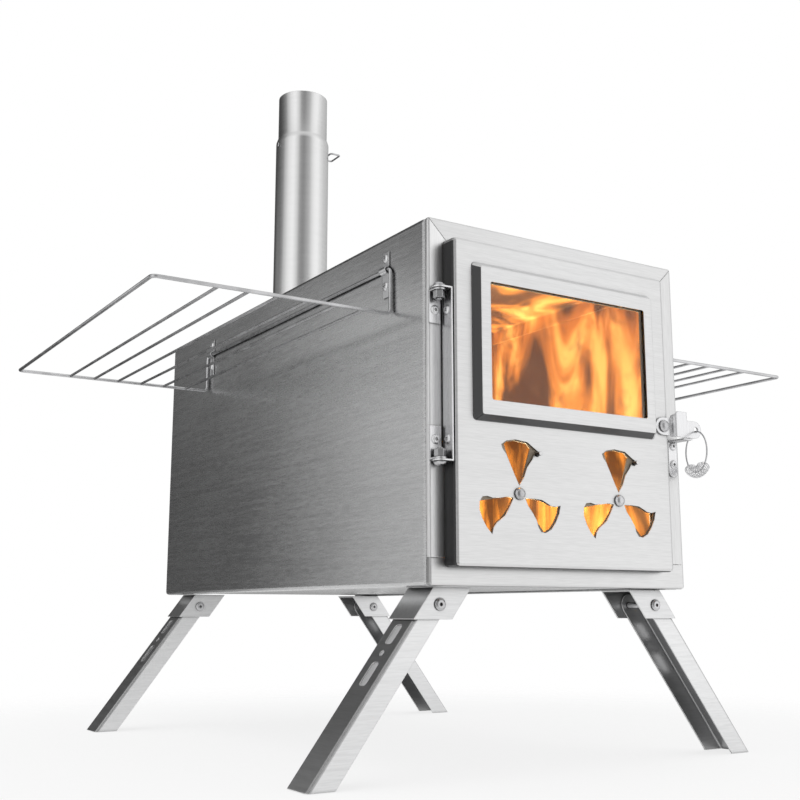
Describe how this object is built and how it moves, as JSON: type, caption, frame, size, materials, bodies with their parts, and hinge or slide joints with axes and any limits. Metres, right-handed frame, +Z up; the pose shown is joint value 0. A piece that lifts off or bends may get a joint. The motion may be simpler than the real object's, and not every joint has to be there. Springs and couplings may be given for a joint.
{
  "type": "tent wood stove",
  "caption": "Portable box-shaped wood stove with a glazed front door, rotary air vents, folding legs, folding side racks and a flue pipe with a damper.",
  "frame": {"origin": "bottom centre of the whole object's bounding box, on the floor the feet stand on", "axes": "+Z up, the door faces -Y, +X towards the latch side"},
  "size_m": [0.6356, 0.5474, 0.7083],
  "materials": {
    "stainless_sheet": "brushed, light wear",
    "stainless_wire": "drawn wire, satin",
    "stainless_hardware": "bright, smooth",
    "heat_tinted_steel": "heat-tinted, sooty",
    "ceramic_glass": "clear, smooth",
    "gasket": "woven glass-fibre tape, black"
  },
  "bodies": {
    "stove": {"left_side_panel": "stainless_sheet", "right_side_panel": "stainless_sheet", "cooktop_panel": "stainless_sheet", "bottom_panel": "stainless_sheet", "back_panel": "stainless_sheet", "frame_top_rail": "stainless_sheet", "frame_left_stile": "stainless_sheet", "frame_right_stile": "stainless_sheet", "frame_bottom_rail": "stainless_sheet", "baffle_plate": "heat_tinted_steel", "flue_collar": "stainless_sheet", "upper_hinge_bracket": "stainless_sheet", "lower_hinge_bracket": "stainless_sheet", "upper_hinge_bolt": "stainless_hardware", "lower_hinge_bolt": "stainless_hardware", "upper_hinge_nut": "stainless_hardware", "lower_hinge_nut": "stainless_hardware", "latch_keeper": "stainless_sheet", "left_front_rack_clip": "stainless_sheet", "left_rear_rack_clip": "stainless_sheet", "right_front_rack_clip": "stainless_sheet", "right_rear_rack_clip": "stainless_sheet", "left_front_leg_bracket": "stainless_sheet", "left_rear_leg_bracket": "stainless_sheet", "right_front_leg_bracket": "stainless_sheet", "right_rear_leg_bracket": "stainless_sheet", "left_front_leg_pin": "stainless_hardware", "left_rear_leg_pin": "stainless_hardware", "right_front_leg_pin": "stainless_hardware", "right_rear_leg_pin": "stainless_hardware"},
    "grate": {"fire_grate": "heat_tinted_steel"},
    "flue": {"flue_pipe": "stainless_sheet"},
    "damper": {"damper_spindle": "stainless_hardware", "damper_plate": "heat_tinted_steel"},
    "door": {"door_panel": "stainless_sheet", "window_frame": "stainless_sheet", "window_glass": "ceramic_glass", "glass_gasket": "gasket", "hinge_strap": "stainless_sheet", "left_vent_bolt": "stainless_hardware", "left_vent_nut": "stainless_hardware", "right_vent_bolt": "stainless_hardware", "right_vent_nut": "stainless_hardware", "latch_bolt": "stainless_hardware", "latch_nut": "stainless_hardware"},
    "left_shutter": {"left_vent_shutter": "stainless_sheet"},
    "right_shutter": {"right_vent_shutter": "stainless_sheet"},
    "latch": {"latch_lever": "stainless_sheet"},
    "latch_loop": {"latch_ring": "stainless_hardware", "latch_grip": "stainless_hardware"},
    "left_shelf": {"left_rack": "stainless_wire"},
    "right_shelf": {"right_rack": "stainless_wire"},
    "left_front_foot": {"left_front_leg": "stainless_sheet"},
    "left_rear_foot": {"left_rear_leg": "stainless_sheet"},
    "right_front_foot": {"right_front_leg": "stainless_sheet"},
    "right_rear_foot": {"right_rear_leg": "stainless_sheet"}
  },
  "joints": [
    {"name": "door_hinge", "type": "hinge", "parent": "stove", "child": "door", "pos_m": [-0.1192, -0.24527, 0.2833], "axis": [0, 0, -1], "range_deg": [0, 170]},
    {"name": "left_shutter_turn", "type": "hinge", "parent": "door", "child": "left_shutter", "pos_m": [-0.0544, -0.25027, 0.2], "axis": [0, -1, 0], "range_deg": [0, 47]},
    {"name": "right_shutter_turn", "type": "hinge", "parent": "door", "child": "right_shutter", "pos_m": [0.0427, -0.25027, 0.2], "axis": [0, -1, 0], "range_deg": [0, 47]},
    {"name": "latch_turn", "type": "hinge", "parent": "door", "child": "latch", "pos_m": [0.0923, -0.25327, 0.2625], "axis": [0, -1, 0], "range_deg": [0, 75]},
    {"name": "latch_loop_swing", "type": "hinge", "parent": "latch", "child": "latch_loop", "pos_m": [0.1246, -0.25732, 0.26015], "axis": [0, -1, 0], "range_deg": [-5, 60]},
    {"name": "damper_turn", "type": "hinge", "parent": "flue", "child": "damper", "pos_m": [0, 0.21273, 0.6463], "axis": [1, 0, 0], "range_deg": [0, 90]},
    {"name": "flue_lift", "type": "slide", "parent": "stove", "child": "flue", "axis": [0, 0, 1], "range_m": [0, 0.06]},
    {"name": "grate_lift", "type": "slide", "parent": "stove", "child": "grate", "axis": [0, 0, 1], "range_m": [0, 0.05]},
    {"name": "left_shelf_fold", "type": "hinge", "parent": "stove", "child": "left_shelf", "pos_m": [-0.12655, -0.01027, 0.3753], "axis": [0, 1, 0], "range_deg": [0, 180]},
    {"name": "right_shelf_fold", "type": "hinge", "parent": "stove", "child": "right_shelf", "pos_m": [0.12655, -0.01027, 0.3753], "axis": [0, -1, 0], "range_deg": [0, 175]},
    {"name": "left_front_leg_fold", "type": "hinge", "parent": "stove", "child": "left_front_foot", "pos_m": [-0.10535, -0.20652, 0.121], "axis": [0, -1, 0], "range_deg": [0, 127]},
    {"name": "left_rear_leg_fold", "type": "hinge", "parent": "stove", "child": "left_rear_foot", "pos_m": [-0.10535, 0.23888, 0.121], "axis": [0, -1, 0], "range_deg": [0, 127]},
    {"name": "right_front_leg_fold", "type": "hinge", "parent": "stove", "child": "right_front_foot", "pos_m": [0.10535, -0.20652, 0.121], "axis": [0, 1, 0], "range_deg": [0, 107]},
    {"name": "right_rear_leg_fold", "type": "hinge", "parent": "stove", "child": "right_rear_foot", "pos_m": [0.10535, 0.23888, 0.121], "axis": [0, 1, 0], "range_deg": [0, 107]}
  ]
}
